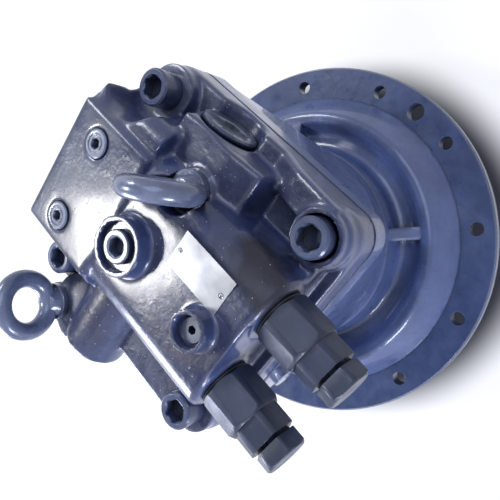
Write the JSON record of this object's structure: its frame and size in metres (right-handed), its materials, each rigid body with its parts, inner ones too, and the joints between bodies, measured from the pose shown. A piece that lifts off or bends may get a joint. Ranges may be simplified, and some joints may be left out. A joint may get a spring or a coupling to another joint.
{
  "type": "hydraulic swing motor",
  "caption": "Axial piston swing motor with a round mounting flange, ported valve casing, relief valves, lifting eyes and a spring-applied parking brake.",
  "frame": {"origin": "centre of the mounting flange's mating face, on the shaft axis", "axes": "+Z along the shaft towards the valve casing, +X along the relief valves, which stand out of the +X side"},
  "size_m": [0.4, 0.4, 0.45],
  "materials": {
    "enamel": "gloss",
    "enamel_pale": "gloss",
    "enamel_dark": "satin",
    "nitrile": "matte",
    "hard_steel": "satin",
    "ground_steel": "ground",
    "spring_steel": "satin",
    "plate_aluminium": "satin",
    "bronze": "satin",
    "sintered_bronze": "matte"
  },
  "bodies": {
    "casing": {"motor_casing": "enamel", "valve_casing": "enamel", "casing_seal": "nitrile", "dowel_pins": "hard_steel", "main_bolts": "enamel", "nameplate": "plate_aluminium", "nameplate_rivets": "hard_steel", "eye_bolts": "enamel_pale", "socket_plugs": "enamel_pale", "makeup_port_plug": "enamel_pale", "bleed_plug": "enamel_pale", "check_plugs": "enamel", "relief_bodies": "enamel_dark", "relief_caps": "enamel_dark", "relief_seals": "nitrile", "relief_spring_a": "spring_steel", "relief_spring_b": "spring_steel", "check_spring_a": "spring_steel", "check_spring_b": "spring_steel", "front_outer_ring": "ground_steel", "rear_outer_ring": "ground_steel", "oil_seal": "nitrile", "seal_circlip": "spring_steel", "shoe_plate": "hard_steel", "valve_plate": "bronze", "separator_plates": "hard_steel", "brake_springs": "spring_steel"},
    "rotor": {"drive_shaft": "hard_steel", "front_inner_ring": "ground_steel", "spherical_bush": "hard_steel", "cylinder_block": "hard_steel", "cylinder_springs": "spring_steel", "friction_plates": "sintered_bronze"},
    "front_roller_set": {"front_rollers": "ground_steel"},
    "rear_roller_set": {"rear_rollers": "ground_steel"},
    "retainer": {"retainer_plate": "hard_steel"},
    "shoe_body_1": {"shoe_1": "bronze"},
    "shoe_body_2": {"shoe_2": "bronze"},
    "shoe_body_3": {"shoe_3": "bronze"},
    "shoe_body_4": {"shoe_4": "bronze"},
    "shoe_body_5": {"shoe_5": "bronze"},
    "shoe_body_6": {"shoe_6": "bronze"},
    "shoe_body_7": {"shoe_7": "bronze"},
    "shoe_body_8": {"shoe_8": "bronze"},
    "shoe_body_9": {"shoe_9": "bronze"},
    "piston_body_1": {"piston_1": "ground_steel"},
    "piston_body_2": {"piston_2": "ground_steel"},
    "piston_body_3": {"piston_3": "ground_steel"},
    "piston_body_4": {"piston_4": "ground_steel"},
    "piston_body_5": {"piston_5": "ground_steel"},
    "piston_body_6": {"piston_6": "ground_steel"},
    "piston_body_7": {"piston_7": "ground_steel"},
    "piston_body_8": {"piston_8": "ground_steel"},
    "piston_body_9": {"piston_9": "ground_steel"},
    "brake": {"brake_piston": "hard_steel", "brake_seals": "nitrile"},
    "relief_a": {"relief_poppet_a": "ground_steel"},
    "relief_b": {"relief_poppet_b": "ground_steel"},
    "check_a": {"check_poppet_a": "ground_steel"},
    "check_b": {"check_poppet_b": "ground_steel"}
  },
  "joints": [
    {"name": "shaft_turn", "type": "hinge", "parent": "casing", "child": "rotor", "pos_m": [0, 0, 0], "axis": [0, 0, 1], "continuous": true},
    {"name": "front_cage_turn", "type": "hinge", "parent": "casing", "child": "front_roller_set", "pos_m": [0, 0, 0.035], "axis": [0, 0, 1], "continuous": true},
    {"name": "rear_cage_turn", "type": "hinge", "parent": "casing", "child": "rear_roller_set", "pos_m": [0, 0, 0.23], "axis": [0, 0, 1], "continuous": true},
    {"name": "retainer_turn", "type": "hinge", "parent": "casing", "child": "retainer", "pos_m": [0, 0, 0.096], "axis": [-0.2504, 0, 0.9681], "continuous": true},
    {"name": "shoe_swivel_1", "type": "hinge", "parent": "retainer", "child": "shoe_body_1", "pos_m": [0.05117, 0, 0.10923], "axis": [-0.2504, 0, 0.9681], "continuous": true},
    {"name": "piston_ball_1", "type": "hinge", "parent": "shoe_body_1", "child": "piston_body_1", "pos_m": [0.052, 0, 0.10945], "axis": [-0.2504, 0, 0.9681], "continuous": true},
    {"name": "shoe_swivel_2", "type": "hinge", "parent": "retainer", "child": "shoe_body_2", "pos_m": [0.0392, 0.03397, 0.10614], "axis": [-0.2504, 0, 0.9681], "continuous": true},
    {"name": "piston_ball_2", "type": "hinge", "parent": "shoe_body_2", "child": "piston_body_2", "pos_m": [0.03983, 0.03343, 0.1063], "axis": [-0.2504, 0, 0.9681], "continuous": true},
    {"name": "shoe_swivel_3", "type": "hinge", "parent": "retainer", "child": "shoe_body_3", "pos_m": [0.00889, 0.05205, 0.0983], "axis": [-0.2504, 0, 0.9681], "continuous": true},
    {"name": "piston_ball_3", "type": "hinge", "parent": "shoe_body_3", "child": "piston_body_3", "pos_m": [0.00903, 0.05121, 0.09834], "axis": [-0.2504, 0, 0.9681], "continuous": true},
    {"name": "shoe_swivel_4", "type": "hinge", "parent": "retainer", "child": "shoe_body_4", "pos_m": [-0.02559, 0.04577, 0.08938], "axis": [-0.2504, 0, 0.9681], "continuous": true},
    {"name": "piston_ball_4", "type": "hinge", "parent": "shoe_body_4", "child": "piston_body_4", "pos_m": [-0.026, 0.04503, 0.08928], "axis": [-0.2504, 0, 0.9681], "continuous": true},
    {"name": "shoe_swivel_5", "type": "hinge", "parent": "retainer", "child": "shoe_body_5", "pos_m": [-0.04809, 0.01808, 0.08356], "axis": [-0.2504, 0, 0.9681], "continuous": true},
    {"name": "piston_ball_5", "type": "hinge", "parent": "shoe_body_5", "child": "piston_body_5", "pos_m": [-0.04886, 0.01778, 0.08336], "axis": [-0.2504, 0, 0.9681], "continuous": true},
    {"name": "shoe_swivel_6", "type": "hinge", "parent": "retainer", "child": "shoe_body_6", "pos_m": [-0.04809, -0.01808, 0.08356], "axis": [-0.2504, 0, 0.9681], "continuous": true},
    {"name": "piston_ball_6", "type": "hinge", "parent": "shoe_body_6", "child": "piston_body_6", "pos_m": [-0.04886, -0.01778, 0.08336], "axis": [-0.2504, 0, 0.9681], "continuous": true},
    {"name": "shoe_swivel_7", "type": "hinge", "parent": "retainer", "child": "shoe_body_7", "pos_m": [-0.02559, -0.04577, 0.08938], "axis": [-0.2504, 0, 0.9681], "continuous": true},
    {"name": "piston_ball_7", "type": "hinge", "parent": "shoe_body_7", "child": "piston_body_7", "pos_m": [-0.026, -0.04503, 0.08928], "axis": [-0.2504, 0, 0.9681], "continuous": true},
    {"name": "shoe_swivel_8", "type": "hinge", "parent": "retainer", "child": "shoe_body_8", "pos_m": [0.00889, -0.05205, 0.0983], "axis": [-0.2504, 0, 0.9681], "continuous": true},
    {"name": "piston_ball_8", "type": "hinge", "parent": "shoe_body_8", "child": "piston_body_8", "pos_m": [0.00903, -0.05121, 0.09834], "axis": [-0.2504, 0, 0.9681], "continuous": true},
    {"name": "shoe_swivel_9", "type": "hinge", "parent": "retainer", "child": "shoe_body_9", "pos_m": [0.0392, -0.03397, 0.10614], "axis": [-0.2504, 0, 0.9681], "continuous": true},
    {"name": "piston_ball_9", "type": "hinge", "parent": "shoe_body_9", "child": "piston_body_9", "pos_m": [0.03983, -0.03343, 0.1063], "axis": [-0.2504, 0, 0.9681], "continuous": true},
    {"name": "brake_release", "type": "slide", "parent": "casing", "child": "brake", "axis": [0, 0, 1], "range_m": [0, 0.0015], "stiffness_N_per_m": 200000, "springref_m": -0.012, "deforming": ["brake_springs"]},
    {"name": "relief_open_a", "type": "slide", "parent": "casing", "child": "relief_a", "axis": [1, 0, 0], "range_m": [0, 0.003], "stiffness_N_per_m": 60000, "springref_m": -0.01, "deforming": ["relief_spring_a"]},
    {"name": "relief_open_b", "type": "slide", "parent": "casing", "child": "relief_b", "axis": [1, 0, 0], "range_m": [0, 0.003], "stiffness_N_per_m": 60000, "springref_m": -0.01, "deforming": ["relief_spring_b"]},
    {"name": "check_open_a", "type": "slide", "parent": "casing", "child": "check_a", "axis": [0, 1, 0], "range_m": [0, 0.006], "stiffness_N_per_m": 400, "springref_m": -0.01, "deforming": ["check_spring_a"]},
    {"name": "check_open_b", "type": "slide", "parent": "casing", "child": "check_b", "axis": [0, -1, 0], "range_m": [0, 0.006], "stiffness_N_per_m": 400, "springref_m": -0.01, "deforming": ["check_spring_b"]}
  ],
  "couplings": [
    {"joint": "front_cage_turn", "follows": "shaft_turn", "ratio": 0.4256},
    {"joint": "rear_cage_turn", "follows": "shaft_turn", "ratio": 0.422},
    {"joint": "retainer_turn", "follows": "shaft_turn", "ratio": 1},
    {"joint": "shoe_swivel_1", "follows": "shaft_turn", "ratio": -2},
    {"joint": "piston_ball_1", "follows": "shaft_turn", "ratio": 1},
    {"joint": "shoe_swivel_2", "follows": "shaft_turn", "ratio": -2},
    {"joint": "piston_ball_2", "follows": "shaft_turn", "ratio": 1},
    {"joint": "shoe_swivel_3", "follows": "shaft_turn", "ratio": -2},
    {"joint": "piston_ball_3", "follows": "shaft_turn", "ratio": 1},
    {"joint": "shoe_swivel_4", "follows": "shaft_turn", "ratio": -2},
    {"joint": "piston_ball_4", "follows": "shaft_turn", "ratio": 1},
    {"joint": "shoe_swivel_5", "follows": "shaft_turn", "ratio": -2},
    {"joint": "piston_ball_5", "follows": "shaft_turn", "ratio": 1},
    {"joint": "shoe_swivel_6", "follows": "shaft_turn", "ratio": -2},
    {"joint": "piston_ball_6", "follows": "shaft_turn", "ratio": 1},
    {"joint": "shoe_swivel_7", "follows": "shaft_turn", "ratio": -2},
    {"joint": "piston_ball_7", "follows": "shaft_turn", "ratio": 1},
    {"joint": "shoe_swivel_8", "follows": "shaft_turn", "ratio": -2},
    {"joint": "piston_ball_8", "follows": "shaft_turn", "ratio": 1},
    {"joint": "shoe_swivel_9", "follows": "shaft_turn", "ratio": -2},
    {"joint": "piston_ball_9", "follows": "shaft_turn", "ratio": 1}
  ]
}
